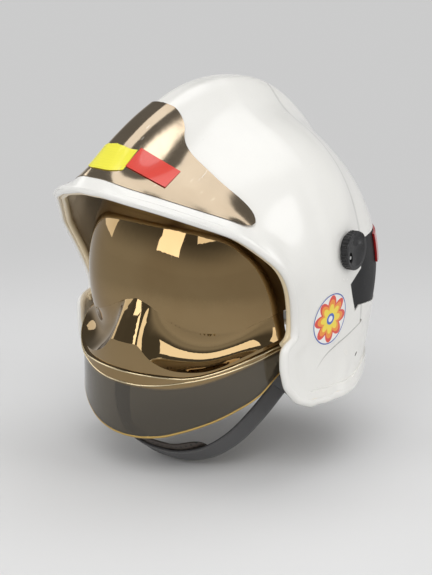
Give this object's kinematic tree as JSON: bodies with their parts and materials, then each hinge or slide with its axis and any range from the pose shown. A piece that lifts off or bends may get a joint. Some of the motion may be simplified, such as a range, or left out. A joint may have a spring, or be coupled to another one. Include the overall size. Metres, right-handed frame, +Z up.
{
  "type": "fire helmet",
  "caption": "Jet style fire helmet with a mirrored full face shield, face plate, side knobs, rear band, head harness and buckled chin strap.",
  "frame": {"origin": "middle of the wearer's head at ear height, where the helmet is held on the head", "axes": "+Z up, -Y the way the face looks, +X the wearer's left"},
  "size_m": [0.2488, 0.2916, 0.3076],
  "materials": {
    "shell": "glossy",
    "trim": "matte",
    "reflector": "reflective",
    "plate": "polished",
    "yellow_marking": "reflective",
    "red_marking": "reflective",
    "black_marking": "reflective",
    "visor": "gold mirrored",
    "knob": "matte",
    "steel": "satin",
    "liner": "matte foam",
    "band": "satin",
    "pad": "soft grain",
    "cradle": "woven",
    "webbing": "woven",
    "buckle": "satin",
    "button": "satin"
  },
  "bodies": {
    "helmet": {"outer_shell": "shell", "rear_band": "trim", "rear_reflector": "reflector", "front_plate": "plate", "marking_middle": "yellow_marking", "marking_left": "red_marking", "marking_right": "black_marking", "knob_boss_left": "trim", "knob_boss_right": "trim", "knob_shaft_left": "steel", "knob_shaft_right": "steel", "pivot_block_left": "trim", "pivot_block_right": "trim", "pivot_bolt_left": "steel", "pivot_bolt_right": "steel", "impact_liner": "liner", "headband": "band", "brow_pad": "pad", "crown_cradle": "cradle", "cradle_hangers": "band", "nape_band": "band", "nape_rivet_left": "steel", "nape_rivet_right": "steel", "ratchet_housing": "band", "chin_web_long": "webbing", "chin_web_short": "webbing", "chin_cup": "pad", "clasp_body": "buckle", "clasp_tongue": "buckle", "strap_anchor_left": "trim", "strap_anchor_right": "trim", "strap_rivet_left": "steel", "strap_rivet_right": "steel"},
    "visor": {"face_shield": "visor"},
    "left_knob": {"side_knob_left": "knob", "knob_pin_left": "steel"},
    "right_knob": {"side_knob_right": "knob", "knob_pin_right": "steel"},
    "size_dial": {"ratchet_dial": "knob"},
    "clasp_release": {"clasp_button": "button"}
  },
  "joints": [
    {"name": "visor_hinge", "type": "hinge", "parent": "helmet", "child": "visor", "pos_m": [0, 0.02, 0.008], "axis": [-1, 0, 0], "range_deg": [0, 46]},
    {"name": "left_knob_turn", "type": "hinge", "parent": "helmet", "child": "left_knob", "pos_m": [0.116, 0.0205, 0.035], "axis": [0.9914, 0.1305, 0], "range_deg": [-150, 30]},
    {"name": "right_knob_turn", "type": "hinge", "parent": "helmet", "child": "right_knob", "pos_m": [-0.116, 0.0205, 0.035], "axis": [-0.9914, 0.1305, 0], "range_deg": [-30, 150]},
    {"name": "size_dial_turn", "type": "hinge", "parent": "helmet", "child": "size_dial", "pos_m": [0, 0.10239, -0.04761], "axis": [0, 0.6782, -0.7349], "continuous": true},
    {"name": "clasp_press", "type": "slide", "parent": "helmet", "child": "clasp_release", "axis": [-0.962, 0.162, 0.2197], "range_m": [0, 0.0015], "stiffness_N_per_m": 800, "springref_m": -0.002}
  ]
}
